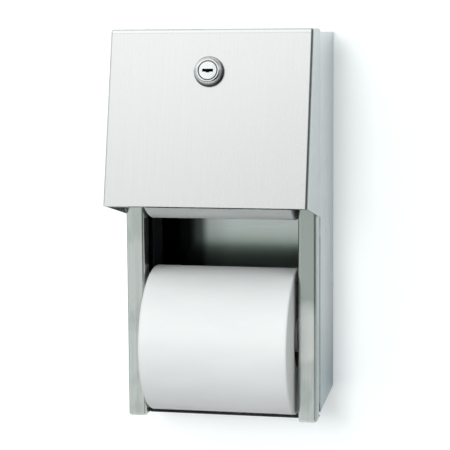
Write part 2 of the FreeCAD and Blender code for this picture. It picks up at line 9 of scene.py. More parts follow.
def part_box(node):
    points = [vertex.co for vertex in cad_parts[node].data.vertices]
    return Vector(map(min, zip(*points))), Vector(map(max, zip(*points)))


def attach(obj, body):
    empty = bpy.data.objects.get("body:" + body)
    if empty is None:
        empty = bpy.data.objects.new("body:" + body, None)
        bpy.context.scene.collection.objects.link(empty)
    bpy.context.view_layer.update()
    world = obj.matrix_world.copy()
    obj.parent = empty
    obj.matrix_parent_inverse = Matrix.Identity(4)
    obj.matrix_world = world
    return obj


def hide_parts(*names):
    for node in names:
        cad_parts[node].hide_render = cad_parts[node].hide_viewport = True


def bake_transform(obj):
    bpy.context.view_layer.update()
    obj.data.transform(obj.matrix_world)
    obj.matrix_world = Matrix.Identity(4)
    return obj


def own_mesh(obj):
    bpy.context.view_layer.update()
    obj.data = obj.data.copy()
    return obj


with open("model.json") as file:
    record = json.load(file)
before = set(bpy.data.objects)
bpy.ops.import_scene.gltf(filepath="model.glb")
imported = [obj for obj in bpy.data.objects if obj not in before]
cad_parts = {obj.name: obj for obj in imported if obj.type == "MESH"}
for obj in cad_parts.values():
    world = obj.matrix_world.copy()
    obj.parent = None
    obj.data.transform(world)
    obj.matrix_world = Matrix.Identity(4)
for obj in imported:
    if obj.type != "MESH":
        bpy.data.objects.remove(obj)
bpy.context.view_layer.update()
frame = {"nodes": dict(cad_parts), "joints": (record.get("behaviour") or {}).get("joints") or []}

# Node trees: one class for a socket, so that sums read as sums, and one for a tree

# A Mix node's colour sockets go by number, because their names repeat
MIX_SHARE, MIX_FIRST, MIX_SECOND, MIX_RESULT = 0, 6, 7, 2


class Wire:
    """A node's output. A sum on it adds a Math node to the same tree."""

    def __init__(self, tree, socket):
        self.tree = tree
        self.socket = socket

    def math(self, operation, *terms):
        return self.tree.add("ShaderNodeMath", {"operation": operation}, dict(enumerate(terms)))[0]

    def __add__(self, other):
        return self.math("ADD", self, other)

    def __radd__(self, other):
        return self.math("ADD", other, self)

    def __sub__(self, other):
        return self.math("SUBTRACT", self, other)

    def __rsub__(self, other):
        return self.math("SUBTRACT", other, self)

    def __mul__(self, other):
        return self.math("MULTIPLY", self, other)

    def __rmul__(self, other):
        return self.math("MULTIPLY", other, self)

    def __truediv__(self, other):
        return self.math("DIVIDE", self, other)

    def __rtruediv__(self, other):
        return self.math("DIVIDE", other, self)

    def __pow__(self, other):
        return self.math("POWER", self, other)

    def __abs__(self):
        return self.math("ABSOLUTE", self)

    def __neg__(self):
        return self.math("SUBTRACT", 0, self)

    def fraction(self):
        return self.math("FRACT", self)

    def sine(self):
        return self.math("SINE", self)

    def cosine(self):
        return self.math("COSINE", self)

    def angle_to(self, other):
        return self.math("ARCTAN2", self, other)

    def at_least(self, other):
        return self.math("MAXIMUM", self, other)

    def at_most(self, other):
        return self.math("MINIMUM", self, other)

    def step(self, low, high):
        """Rises smoothly from 0 at low to 1 at high."""
        made = self.tree.add(
            "ShaderNodeMapRange",
            {"interpolation_type": "SMOOTHSTEP"},
            {"Value": self, "From Min": low, "From Max": high},
        )
        return made["Result"]

    def fade(self, low, high):
        """Falls smoothly from 1 at low to 0 at high."""
        return 1 - self.step(low, high)


class Made:
    """A node that is in place. Its outputs are read by name or number."""

    def __init__(self, tree, node):
        self.tree = tree
        self.node = node

    def __getitem__(self, key):
        return Wire(self.tree, self.node.outputs[key])


class Tree:
    """Makes and links the nodes of one node tree."""

    def __init__(self, node_tree):
        self.node_tree = node_tree

    def add(self, kind, settings=None, sockets=None):
        """A new node: its settings are made first, then its sockets are set or linked."""
        node = self.node_tree.nodes.new(kind)
        for name, value in (settings or {}).items():
            setattr(node, name, value)
        for name, value in (sockets or {}).items():
            if isinstance(value, Wire):
                self.node_tree.links.new(value.socket, node.inputs[name])
            else:
                node.inputs[name].default_value = value
        return Made(self, node)

    def spot(self):
        """The point on the piece, in metres, as three numbers."""
        place = self.add("ShaderNodeTexCoord")["Object"]
        parts = self.add("ShaderNodeSeparateXYZ", {}, {"Vector": place})
        return parts["X"], parts["Y"], parts["Z"]

    def noise(self, scale, detail=3.0, rough=0.55, shift=(0, 0, 0), lean=0.0):
        """Noise on the piece's own coordinates. The scale is in marks per metre along each axis,
        and the whole is leant about x."""
        drawn = self.add(
            "ShaderNodeMapping",
            {"vector_type": "TEXTURE"},
            {
                "Vector": self.add("ShaderNodeTexCoord")["Object"],
                "Location": shift,
                "Rotation": (lean, 0, 0),
                "Scale": [1 / s for s in scale],
            },
        )
        made = self.add(
            "ShaderNodeTexNoise",
            {},
            {"Vector": drawn["Vector"], "Scale": 1, "Detail": detail, "Roughness": rough},
        )
        return made["Fac"]

    def blend(self, share, first, second):
        made = self.add(
            "ShaderNodeMix",
            {"data_type": "RGBA"},
            {MIX_SHARE: share, MIX_FIRST: colour(first), MIX_SECOND: colour(second)},
        )
        return made[MIX_RESULT]

    def bump(self, height, strength, distance):
        made = self.add(
            "ShaderNodeBump", {}, {"Strength": strength, "Distance": distance, "Height": height}
        )
        return made["Normal"]

    def surface(self, **sockets):
        named = {name.replace("_", " "): value for name, value in sockets.items()}
        shader = self.add("ShaderNodeBsdfPrincipled", {}, named)
        self.add("ShaderNodeOutputMaterial", {}, {"Surface": shader["BSDF"]})


def colour(value):
    return value if isinstance(value, Wire) else (*value, 1)


def new_finish(name):
    material = bpy.data.materials.new(name)
    material.use_nodes = True
    material.node_tree.nodes.clear()
    return material, Tree(material.node_tree)


# Finishes. A pair of numbers is where a mark starts and where it ends, in metres


def joint(name):
    return next(j for j in frame["joints"] if j["name"] == name)


# The lock's axis stands square on the door's leaning front
LOCK_Y, LOCK_Z = joint("lock_turn")["pos_m"][1:]
INTO_DOOR_Y, INTO_DOOR_Z = joint("lock_turn")["axis"][1:]
DOOR_LEAN = math.atan2(INTO_DOOR_Z, INTO_DOOR_Y)
DOOR_HALF, DOOR_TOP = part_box("door_cover")[1].xz
LEG_IN, LEG_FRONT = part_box("right_leg_channel")[0].xy
LEG_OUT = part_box("right_leg_channel")[1].x
MIDLINE = (-0.01, 0.01)


def behind_door(y, z):
    """How far a point lies behind the door's front."""
    return (y - LOCK_Y) * INTO_DOOR_Y + (z - LOCK_Z) * INTO_DOOR_Z


def satin_stainless(
    name, tone, rough, grain, spread=0.3, turned=0.0, depth=0.06, lean=0.0, marks=None
):
    """Brushed sheet. The grain's numbers are marks per metre along each axis, few along the brush.
    marks(t) gives the places of painted shade, highlight and reflection tone: their share of the
    surface, and their tone as a share of the sheet's."""
    material, t = new_finish(name)
    brush = t.noise(grain, detail=4, rough=0.6, lean=lean)
    finer = [3.1 * g for g in grain]
    fine = t.noise(finer, detail=2, rough=0.5, shift=(0.37, 0.11, 0.23), lean=lean)
    cloud = t.noise((14, 14, 9), detail=3, rough=0.5)
    shade = 0.62 * brush + 0.38 * fine
    dull = [(1 - depth) * c for c in tone]
    bright = [min((1 + depth) * c, 1) for c in tone]
    metal = t.blend(shade.step(0.25, 0.75), dull, bright)
    for share, left in marks(t) if marks else ():
        metal = t.blend(share, metal, [k * c for k, c in zip(left, tone)])
    t.surface(
        Base_Color=metal,
        Metallic=1.0,
        Roughness=rough + 0.05 * (shade - 0.5) + 0.05 * (cloud - 0.5),
        Anisotropic=spread,
        Anisotropic_Rotation=turned,
        Normal=t.bump(shade, strength=0.02, distance=0.0003),
    )
    return material


DOOR_FLANK_INSET, DOOR_FLANK_DEPTH = (0.0003, 0.0013), (0.0004, 0.0022)
DOOR_FOLD_INSET, DOOR_FOLD_DEPTH = (0.0010, 0.0018), (0.0012, 0.0024)
DOOR_INSIDE_INSET, DOOR_INSIDE_DEPTH = (0.0006, 0.0008), (0.0005, 0.0008)
RIDGE_DROP, CREST_DROP, CREASE_DROP = (0.0004, 0.0009), (0.0022, 0.0028), (0.0030, 0.0038)
LEFT_FOLD_SHARE = 0.3


def door_marks(t):
    """Painted shade on the side folds, deeper on the right than the left, and on the flanks behind
    them;
    at the top a painted dark edge line, a painted highlight below it and a faint painted dark line
    under that; painted shade on the inner faces."""
    x, y, z = t.spot()
    inset, drop, depth = DOOR_HALF - abs(x), DOOR_TOP - z, behind_door(y, z)
    # Painted shade: the flanks and side folds are darkened to stand for the dark they mirror, the
    # left folds less than the right.
    flank_shade = inset.fade(*DOOR_FLANK_INSET) * depth.step(*DOOR_FLANK_DEPTH)
    fold_shade = inset.fade(*DOOR_FOLD_INSET) * depth.fade(*DOOR_FOLD_DEPTH)
    fold_shade = fold_shade * (LEFT_FOLD_SHARE + (1 - LEFT_FOLD_SHARE) * x.step(*MIDLINE))
    # Painted shade on the inner faces behind the door's front.
    inside_shade = inset.step(*DOOR_INSIDE_INSET) * drop.step(*DOOR_INSIDE_INSET)
    inside_shade = inside_shade * depth.step(*DOOR_INSIDE_DEPTH)
    # Painted highlight along the top bend, with a painted dark line at the very edge above it and a
    # faint painted dark line below it.
    crest_highlight = drop.fade(*CREST_DROP)
    crease_shade = drop.fade(*CREASE_DROP) * (1 - crest_highlight)
    ridge_shade = drop.fade(*RIDGE_DROP)
    return (
        (crease_shade, (0.93, 0.93, 0.93)),
        (crest_highlight, (1.09, 1.09, 1.09)),
        (ridge_shade, (0.78, 0.79, 0.79)),
        (flank_shade, (0.75, 0.81, 0.83)),
        (fold_shade, (0.22, 0.24, 0.24)),
        (inside_shade, (0.40, 0.41, 0.41)),
    )


LEG_FLANK_INSET = (0.0002, 0.0010)
LEG_FOLD_INSET, LEG_FOLD_DEPTH = (0.0006, 0.0011), (0.0006, 0.0016)
LEG_INSIDE_INSET, LEG_INSIDE_DEPTH = (0.0002, 0.0005), (0.002, 0.014)
LEG_PAINTED_SHADE_FROM, LEG_PAINTED_LIGHT_FROM = (-0.072, -0.054), (-0.107, -0.098)
LEG_MARK_WANDER = 0.02


def leg_marks(t):
    """Painted shade on the outer folds and flanks and on the faces beside the roll; on the right
    leg's front a painted dark reflection band above a painted light one; a random mottle on both
    legs."""
    x, y, z = t.spot()
    side, depth = abs(x), y - LEG_FRONT
    inset = LEG_OUT - side
    # Painted shade on the outer flanks and folds, standing for the dark they mirror.
    flank_shade = inset.fade(*LEG_FLANK_INSET)
    fold_shade = inset.fade(*LEG_FOLD_INSET) * depth.fade(*LEG_FOLD_DEPTH)
    # Painted shade on the faces beside the roll.
    inside_shade = (side - LEG_IN).fade(*LEG_INSIDE_INSET) * depth.step(*LEG_INSIDE_DEPTH)
    right = x.step(*MIDLINE)
    cloud = t.noise((60, 60, 34), detail=2, rough=0.5, shift=(0.13, 0.4, 0.02))
    height = z + LEG_MARK_WANDER * (cloud - 0.5)
    # Painted reflection on the right leg's front: a dark band above and a light band below it; the
    # cloud also adds a random mottle to both legs.
    upper = height.step(*LEG_PAINTED_SHADE_FROM)
    painted_light_band = right * (height.step(*LEG_PAINTED_LIGHT_FROM) - upper)
    dull = right * upper + 0.5 * cloud.step(0.5, 0.75)
    return (
        (dull.at_most(1), (0.67, 0.71, 0.685)),
        (painted_light_band, (1.20, 1.18, 1.19)),
        (flank_shade, (0.76, 0.81, 0.84)),
        (fold_shade, (0.43, 0.46, 0.45)),
        (inside_shade, (0.44, 0.45, 0.43)),
    )


SIDE_PAINTED_SHADE_BELOW = (0.06, 0.15)


def side_marks(t):
    """Painted bluish shade towards the foot."""
    height = t.spot()[2]
    # Painted shade: bluish and darker low down, standing for the darker wall the sides mirror
    # there.
    return [((-height).step(*SIDE_PAINTED_SHADE_BELOW), (0.64, 0.73, 0.78))]


BACK_FACE = (0.0003, 0.0006)
BACK_PAINTED_SHADE_BELOW = (0.008, 0.030)
SHADE_BAND_HALO, SHADE_BAND_EDGE = (0.006, 0.030), (0.027, 0.036)
SHADE_BAND_HALO_SHARE = 0.3


def back_marks(t):
    """On the face towards the rolls: painted shade low down, and a painted dark reflection band
    beside the left guide.
    """
    x, y, z = t.spot()
    face = (-y).step(*BACK_FACE)
    # Painted shade low down, and a painted dark reflection band with a soft halo beside the left
    # guide.
    low = (-z).step(*BACK_PAINTED_SHADE_BELOW)
    halo, dark = (-x).step(*SHADE_BAND_HALO), (-x).step(*SHADE_BAND_EDGE)
    painted_shade_band = SHADE_BAND_HALO_SHARE * halo + (1 - SHADE_BAND_HALO_SHARE) * dark
    return (face * low, (0.66, 0.72, 0.68)), (face * painted_shade_band, (0.10, 0.11, 0.105))


def black_coat():
    """A near-black finish: a fine orange peel, and paler spots."""
    material, t = new_finish("black_coat")
    peel = t.noise((1700, 1700, 1700), detail=2, rough=0.5)
    rub = t.noise((60, 60, 25), detail=4, rough=0.6, shift=(0.3, 0.2, 0.6))
    t.surface(
        Base_Color=t.blend(rub.step(0.45, 0.8), (0.016, 0.018, 0.020), (0.045, 0.047, 0.050)),
        Roughness=0.38 + 0.14 * (rub - 0.5) + 0.06 * (peel - 0.5),
        Specular_IOR_Level=0.25,
        Normal=t.bump(peel, strength=0.08, distance=0.0003),
    )
    return material


def bright_chrome(name, shade_and_soil):
    """Bright plate. The given function gives the share that is darkened, by painted shade and by
    grime.
    """
    material, t = new_finish(name)
    scratch = t.noise((900, 900, 160), detail=3, rough=0.6)
    cloud = t.noise((120, 120, 120), detail=2, rough=0.5, shift=(0.2, 0.5, 0.1))
    plate = t.blend(cloud.step(0.3, 0.7), (0.66, 0.68, 0.675), (0.75, 0.77, 0.765))
    shade_and_dirt = shade_and_soil(t)
    t.surface(
        Base_Color=t.blend(shade_and_dirt, plate, (0.014, 0.016, 0.016)),
        Metallic=1.0,
        Roughness=0.12 + 0.07 * scratch.step(0.45, 0.8) + 0.3 * shade_and_dirt,
        Normal=t.bump(scratch, strength=0.03, distance=0.0002),
    )
    return material


# On the lock's face: how far out from its axis, and for the keyway how deep below the plug's top
BEZEL_LIP, BEZEL_DOME, BEZEL_FOOT = (0.0072, 0.0075), (0.0083, 0.0088), (0.0089, 0.0112)
BEZEL_RING_PITCH = 0.00085
# Which way the dome's foot darkens, and from where: painted shade with some grime, heaviest low on
# the right.
SHADE_AND_GRIME_WAY, SHADE_AND_GRIME_START = (0.55, -0.83), (-0.005, 0.004)
PLUG_TOP, PLUG_RIM = 0.0054, (0.0064, 0.0069)
KEYWAY_REACH, KEYWAY_DEPTH = (0.0058, 0.0062), (0.0001, 0.0006)


def lock_face(x, y, z):
    """How far up from the lock's axis a point lies, and how far from it all round."""
    up = (z - LOCK_Z) * INTO_DOOR_Y - (y - LOCK_Y) * INTO_DOOR_Z
    return up, (x * x + up * up) ** 0.5


def bezel_shade_and_soil(t):
    """Turned rings on the dome, and darkening round the plug and, low down, where the dome meets
    the
    door: painted shade, with some grime."""
    x, y, z = t.spot()
    up, reach = lock_face(x, y, z)
    rings = (reach * (2 * math.pi / BEZEL_RING_PITCH)).sine() * 0.5 + 0.5
    # Painted shade, with some grime, at the dome's foot and in the groove by the lip.
    low = (SHADE_AND_GRIME_WAY[0] * x + SHADE_AND_GRIME_WAY[1] * up).step(*SHADE_AND_GRIME_START)
    foot = reach.step(*BEZEL_FOOT) * (0.1 + 0.9 * low)
    groove = reach.fade(*BEZEL_LIP)
    return (0.18 * rings * reach.step(*BEZEL_DOME) + 0.85 * foot + 0.7 * groove).at_most(1)


def keyway_shade_and_rim(t):
    """Below the plug's face the keyway is black, painted shade; the face is darker towards its rim.
    """
    x, y, z = t.spot()
    reach = lock_face(x, y, z)[1]
    # Painted shade: the keyway black below the plug's face.
    deep = (PLUG_TOP + behind_door(y, z)).step(*KEYWAY_DEPTH) * reach.fade(*KEYWAY_REACH)
    return deep.at_least(0.6 * reach.step(*PLUG_RIM))


def zinc_plate():
    """Dull plate with a fine spangle."""
    material, t = new_finish("plated_steel")
    spangle = t.noise((260, 260, 260), detail=3, rough=0.6)
    cloud = t.noise((45, 45, 45), detail=2, rough=0.5, shift=(0.1, 0.3, 0.7))
    t.surface(
        Base_Color=t.blend(cloud.step(0.3, 0.7), (0.50, 0.51, 0.52), (0.66, 0.66, 0.65)),
        Metallic=1.0,
        Roughness=0.30 + 0.16 * spangle,
        Normal=t.bump(spangle, strength=0.06, distance=0.0003),
    )
    return material


def drawn_wire():
    """Grey wire with fine marks from the die."""
    material, t = new_finish("spring_wire")
    draw = t.noise((1500, 1500, 1500), detail=2, rough=0.5)
    t.surface(
        Base_Color=t.blend(draw, (0.36, 0.37, 0.39), (0.52, 0.53, 0.54)),
        Metallic=1.0,
        Roughness=0.28 + 0.12 * draw,
        Normal=t.bump(draw, strength=0.05, distance=0.0002),
    )
    return material


def moulded_plastic(name, low, high, rough, grain):
    """Plastic with a mould's fine grain, darker where it is rubbed."""
    material, t = new_finish(name)
    sparkle = t.noise((grain,) * 3, detail=2, rough=0.6)
    rub = t.noise((40, 160, 160), detail=3, rough=0.55, shift=(0.4, 0.2, 0.6))
    t.surface(
        Base_Color=t.blend(rub.step(0.3, 0.75), high, low),
        Roughness=rough + 0.12 * (rub - 0.5),
        Normal=t.bump(sparkle, strength=0.12, distance=0.0003),
    )
    return material


CORE_SEAM_PITCH = 0.062
CORE_SEAM_HALF = 0.03  # of a turn


def core_board(name, axis_y, axis_z):
    """Grey-brown board, wound on a slant, so its seam is a helix."""
    material, t = new_finish(name)
    x, y, z = t.spot()
    turn = (z - axis_z).angle_to(y - axis_y) / (2 * math.pi)
    seam = abs((x / CORE_SEAM_PITCH + turn).fraction() - 0.5).step(0.0, CORE_SEAM_HALF)
    fibre = t.noise((700, 700, 700), detail=4, rough=0.65)
    cloud = t.noise((90, 90, 90), detail=2, rough=0.5, shift=(0.3, 0.1, 0.2))
    shade = t.blend(0.6 * fibre + 0.4 * cloud, (0.34, 0.27, 0.20), (0.52, 0.43, 0.33))
    t.surface(
        Base_Color=t.blend(seam, (0.24, 0.19, 0.14), shade),
        Roughness=0.86 + 0.08 * (fibre - 0.5),
        Normal=t.bump(0.5 * fibre + 0.5 * seam, strength=0.35, distance=0.0003),
    )
    return material


SHEET_EDGE_PITCH = 0.00042
ROLL_END_INSET = (0.0004, 0.0016)


def tissue(name, axis_y, axis_z, half_width, bore):
    """Soft white sheet: creped all over, with the edges of its layers on the two ends."""
    material, t = new_finish(name)
    x, y, z = t.spot()
    across, up = y - axis_y, z - axis_z
    radius = (across * across + up * up) ** 0.5
    turn = up.angle_to(across) / (2 * math.pi)
    on_end = (half_width - abs(x)).fade(*ROLL_END_INSET)
    layer = abs(((radius - bore) / SHEET_EDGE_PITCH - turn).fraction() - 0.5) * 2
    crepe = t.noise((900, 2600, 2600), detail=3, rough=0.6)
    fluff = t.noise((3200, 3200, 3200), detail=2, rough=0.6, shift=(0.2, 0.4, 0.3))
    soft = t.noise((22, 60, 60), detail=3, rough=0.5, shift=(0.5, 0.1, 0.9))
    sheet = t.blend(soft.step(0.3, 0.7), (0.885, 0.888, 0.885), (0.915, 0.917, 0.912))
    edges = t.blend(layer, (0.60, 0.60, 0.59), (0.86, 0.86, 0.85))
    height = 0.5 * crepe + 0.3 * fluff + on_end * layer
    t.surface(
        Base_Color=t.blend(on_end, sheet, edges),
        Roughness=0.92 + 0.06 * (fluff - 0.5),
        Specular_IOR_Level=0.2,
        Normal=t.bump(height, strength=0.10, distance=0.0003),
    )
    return material


# The wound rolls: a sheet on a spiral, so each end shows the edges of its turns

SPOKES = 144
END_ROWS = 161
RIM_ROWS = 6
SKIN_ROWS = 17
HOLE_ROWS = 3
LAYER_PITCH = 0.0011
LAYER_DEPTH = 0.00032
RIM_RADIUS = 0.0014
CORE_GAP = 0.00005
SLIP = 0.00030
SLIPS_PER_METRE = 420
SLIP_ENDS = 0.0012
DENT = 0.00030
DENTS_ALONG, DENTS_ROUND, DENT_SCALE = 1.3, 1.6, 1.4
DENT_ENDS = 8
SEAM_GAP = 1e-6


def winding_tree(name, sizes, material):
    """The rule for a roll: its skin, its bore, two ends and two rounded rims, each a grid bent
    round the axis."""
    group = bpy.data.node_groups.new(name, "GeometryNodeTree")
    for label in sizes:
        group.interface.new_socket(label, in_out="INPUT", socket_type="NodeSocketFloat")
    group.interface.new_socket("Roll", in_out="OUTPUT", socket_type="NodeSocketGeometry")
    t = Tree(group)
    given = t.add("NodeGroupInput")
    half, outer, bore = given["Half width"], given["Outer radius"], given["Bore radius"]
    rim, pitch, depth = given["Rim radius"], given["Layer pitch"], given["Layer depth"]

    def patch(rows, place, flip):
        """A grid bent into place. place(turn, run) gives the way along the axis and the radius."""
        grid = t.add(
            "GeometryNodeMeshGrid",
            {},
            {"Size X": 1, "Size Y": 1, "Vertices X": SPOKES + 1, "Vertices Y": rows},
        )
        flat = t.add("GeometryNodeInputPosition")["Position"]
        at = t.add("ShaderNodeSeparateXYZ", {}, {"Vector": flat})
        turn, run = at["X"] + 0.5, at["Y"] + 0.5
        across, radius = place(turn, run)
        angle = turn * (2 * math.pi)
        spot = t.add(
            "ShaderNodeCombineXYZ",
            {},
            {
                "X": across,
                "Y": given["Axis y"] + radius * angle.cosine(),
                "Z": given["Axis z"] + radius * angle.sine(),
            },
        )
        moved = {"Geometry": grid["Mesh"], "Position": spot["Vector"]}
        bent = t.add("GeometryNodeSetPosition", {}, moved)["Geometry"]
        return t.add("GeometryNodeFlipFaces", {}, {"Mesh": bent})["Mesh"] if flip else bent

    def sunk(turn, radius):
        """How far the ends lie back at a radius: the gaps between turns, and turns that slipped a
        little."""
        layer = ((radius - bore) / pitch - turn).fraction()
        slip = t.add(
            "ShaderNodeTexNoise",
            {"noise_dimensions": "1D"},
            {"W": radius * SLIPS_PER_METRE, "Scale": 1, "Detail": 2},
        )["Fac"]
        fade = (outer - rim - radius).step(0, SLIP_ENDS)
        return (depth * abs(2 * layer - 1) + SLIP * slip) * fade

    def end(side):
        def place(turn, run):
            radius = bore + (outer - rim - bore) * run
            return (half - sunk(turn, radius)) * side, radius

        return place

    def lip(side):
        def place(turn, run):
            angle = run * (math.pi / 2)
            return (half - rim + rim * angle.cosine()) * side, outer - rim + rim * angle.sine()

        return place

    def skin(turn, run):
        """The outside, dented a little by handling, less towards its ends."""
        along = run * 2 - 1
        angle = turn * (2 * math.pi)
        spot = t.add(
            "ShaderNodeCombineXYZ",
            {},
            {
                "X": along * DENTS_ALONG,
                "Y": DENTS_ROUND * angle.cosine(),
                "Z": DENTS_ROUND * angle.sine(),
            },
        )
        dent = t.add(
            "ShaderNodeTexNoise", {}, {"Vector": spot["Vector"], "Scale": DENT_SCALE, "Detail": 1}
        )["Fac"]
        return along * (half - rim), outer - DENT * dent * (1 - along ** DENT_ENDS)

    def hole(turn, run):
        return (run * 2 - 1) * (half - sunk(turn, bore)), bore

    patches = [patch(SKIN_ROWS, skin, False), patch(HOLE_ROWS, hole, True)]
    for side, flip in ((-1, False), (1, True)):
        patches.append(patch(END_ROWS, end(side), flip))
        patches.append(patch(RIM_ROWS, lip(side), flip))
    join = t.add("GeometryNodeJoinGeometry")
    for piece in reversed(patches):
        group.links.new(piece.socket, join.node.inputs["Geometry"])
    welded = {"Geometry": join["Geometry"], "Distance": SEAM_GAP}
    whole = t.add("GeometryNodeMergeByDistance", {}, welded)
    smooth = t.add("GeometryNodeSetShadeSmooth", {}, {"Geometry": whole["Geometry"]})
    real = t.add("GeometryNodeRealizeInstances", {}, {"Geometry": smooth["Geometry"]})
    dressed = t.add(
        "GeometryNodeSetMaterial", {}, {"Geometry": real["Geometry"], "Material": material}
    )
    t.add("NodeGroupOutput", {}, {"Roll": dressed["Geometry"]})
    return group


def grown(name, group, sizes):
    """The plain mesh that a node tree makes with these sizes."""
    holder = bpy.data.objects.new(name + "_holder", bpy.data.meshes.new(name + "_holder"))
    rule = holder.modifiers.new("winding", "NODES")
    rule.node_group = group
    for item in group.interface.items_tree:
        if item.in_out == "INPUT":
            rule[item.identifier] = sizes[item.name]
    return settled(name, holder)


def settled(name, holder):
    """A piece with the plain mesh that the holder ends up as. The holder and its modifiers go."""
    bpy.context.scene.collection.objects.link(holder)
    graph = bpy.context.evaluated_depsgraph_get()
    mesh = bpy.data.meshes.new_from_object(holder.evaluated_get(graph))
    holder.modifiers.clear()
    bpy.data.objects.remove(holder)
    piece = bpy.data.objects.new(name, mesh)
    bpy.context.scene.collection.objects.link(piece)
    return piece


def wound_roll(level):
    """A wound roll of the size and in the place of its CAD tube, and its core's finish."""
    low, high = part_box(f"{level}_roll_paper")
    inner_low, inner_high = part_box(f"{level}_roll_core")
    middle = (low + high) / 2
    sizes = {
        "Half width": (high.x - low.x) / 2,
        "Outer radius": (high.z - low.z) / 2,
        "Bore radius": (inner_high.z - inner_low.z) / 2 + CORE_GAP,
        "Rim radius": RIM_RADIUS,
        "Layer pitch": LAYER_PITCH,
        "Layer depth": LAYER_DEPTH,
        "Axis y": middle.y,
        "Axis z": middle.z,
    }
    finish = tissue(
        f"{level}_tissue", middle.y, middle.z, sizes["Half width"], sizes["Bore radius"]
    )
    rule = winding_tree(f"{level}_winding", sizes, finish)
    piece = grown(f"{level}_wound_paper", rule, sizes)
    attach(piece, f"{level}_roll")
    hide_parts(f"{level}_roll_paper")
    dress(core_board(f"{level}_core_board", middle.y, middle.z), f"{level}_roll_core")


# Springs: one in each spindle and one on each lever's pin

WIRE_STEPS = 40
WIRE_ROUNDNESS = 4
WIRE_GAP = 1e-7
SPINDLE_WIRE = 0.0006
SPINDLE_TURNS = 8
LEVER_WIRE = 0.00045
LEVER_COIL = 0.004
LEVER_TURNS = 3
LEVER_PITCH = 0.0014
LEVER_COIL_X = 0.0642
LEVER_LEGS = (0.01175, 0.019)


def coil(start_x, axis_y, axis_z, radius, pitch, turns):
    """Points round a coil along x, which starts and ends at the top of its turn."""
    spots = []
    for i in range(WIRE_STEPS * turns + 1):
        angle = 2 * math.pi * i / WIRE_STEPS
        along = start_x + pitch * i / WIRE_STEPS
        spots.append((along, axis_y - radius * math.sin(angle), axis_z + radius * math.cos(angle)))
    return spots


def wire(name, spots, radius, material, node):
    """A round wire with flat ends along these points, in place of a spring's CAD node."""
    line = bpy.data.curves.new(name, "CURVE")
    line.dimensions = "3D"
    line.bevel_depth = radius
    line.bevel_resolution = WIRE_ROUNDNESS
    line.use_fill_caps = True
    run = line.splines.new("POLY")
    run.points.add(len(spots) - 1)
    for point, spot in zip(run.points, spots):
        point.co = (*spot, 1)
    piece = settled(name, bpy.data.objects.new(name + "_holder", line))
    shape = bmesh.new()
    shape.from_mesh(piece.data)
    bmesh.ops.remove_doubles(shape, verts=shape.verts, dist=WIRE_GAP)
    for face in shape.faces:
        face.smooth = len(face.verts) == 4
    shape.to_mesh(piece.data)
    shape.free()
    piece.data.materials.clear()
    piece.data.materials.append(material)
    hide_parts(node)
    return piece


def spindle_spring(level, material):
    """Turns along the spindle, at the length of the spring's CAD node."""
    node, push = f"{level}_spindle_spring", f"{level}_plunger_press"
    low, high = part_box(node)
    middle = (low + high) / 2
    length = high.x - low.x
    radius = (high.z - low.z) / 2 - SPINDLE_WIRE
    pitch = (length - 2 * SPINDLE_WIRE) / SPINDLE_TURNS
    spots = coil(low.x + SPINDLE_WIRE, middle.y, middle.z, radius, pitch, SPINDLE_TURNS)
    piece = wire(f"{level}_coil_spring", spots, SPINDLE_WIRE, material, node)
    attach(piece, f"{level}_spindle")
    1 - joint(push)["range_m"][1] / length
    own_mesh(piece)


def lever_spring(side, material):
    """Three turns round the pin, a leg back to the guide and a leg under the lever's shelf."""
    pin_x, pin_y, pin_z = joint(f"{side}_lever_drop")["pos_m"]
    spots = coil(LEVER_COIL_X, pin_y, pin_z, LEVER_COIL, LEVER_PITCH, LEVER_TURNS)
    slope = LEVER_PITCH / (2 * math.pi * LEVER_COIL)
    rear, front = LEVER_LEGS
    first, last = spots[0], spots[-1]
    spots = [
        (first[0] - rear * slope, first[1] + rear, first[2]),
        *spots,
        (last[0] + front * slope, last[1] - front, last[2]),
    ]
    hand = math.copysign(1, pin_x)
    spots = [(hand * x, y, z) for x, y, z in spots]
    piece = wire(f"{side}_torsion_spring", spots, LEVER_WIRE, material, f"{side}_lever_spring")
    hand * first[0]
    hand * last[0]
    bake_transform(piece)


# Finishes on the CAD nodes


def dress(material, *nodes):
    for node in nodes:
        for place in frame["nodes"][node].material_slots:
            place.material = material


SIDES = ("left", "right")
LEVELS = ("lower", "upper")


def both(word):
    return [f"{side}_{word}" for side in SIDES]


UPRIGHT_BRUSH, LEG_BRUSH = (1500, 1500, 16), (900, 900, 7)
TOP_BRUSH, BACK_BRUSH, STRAP_BRUSH = (1500, 16, 1500), (20, 1100, 1100), (16, 1500, 1500)


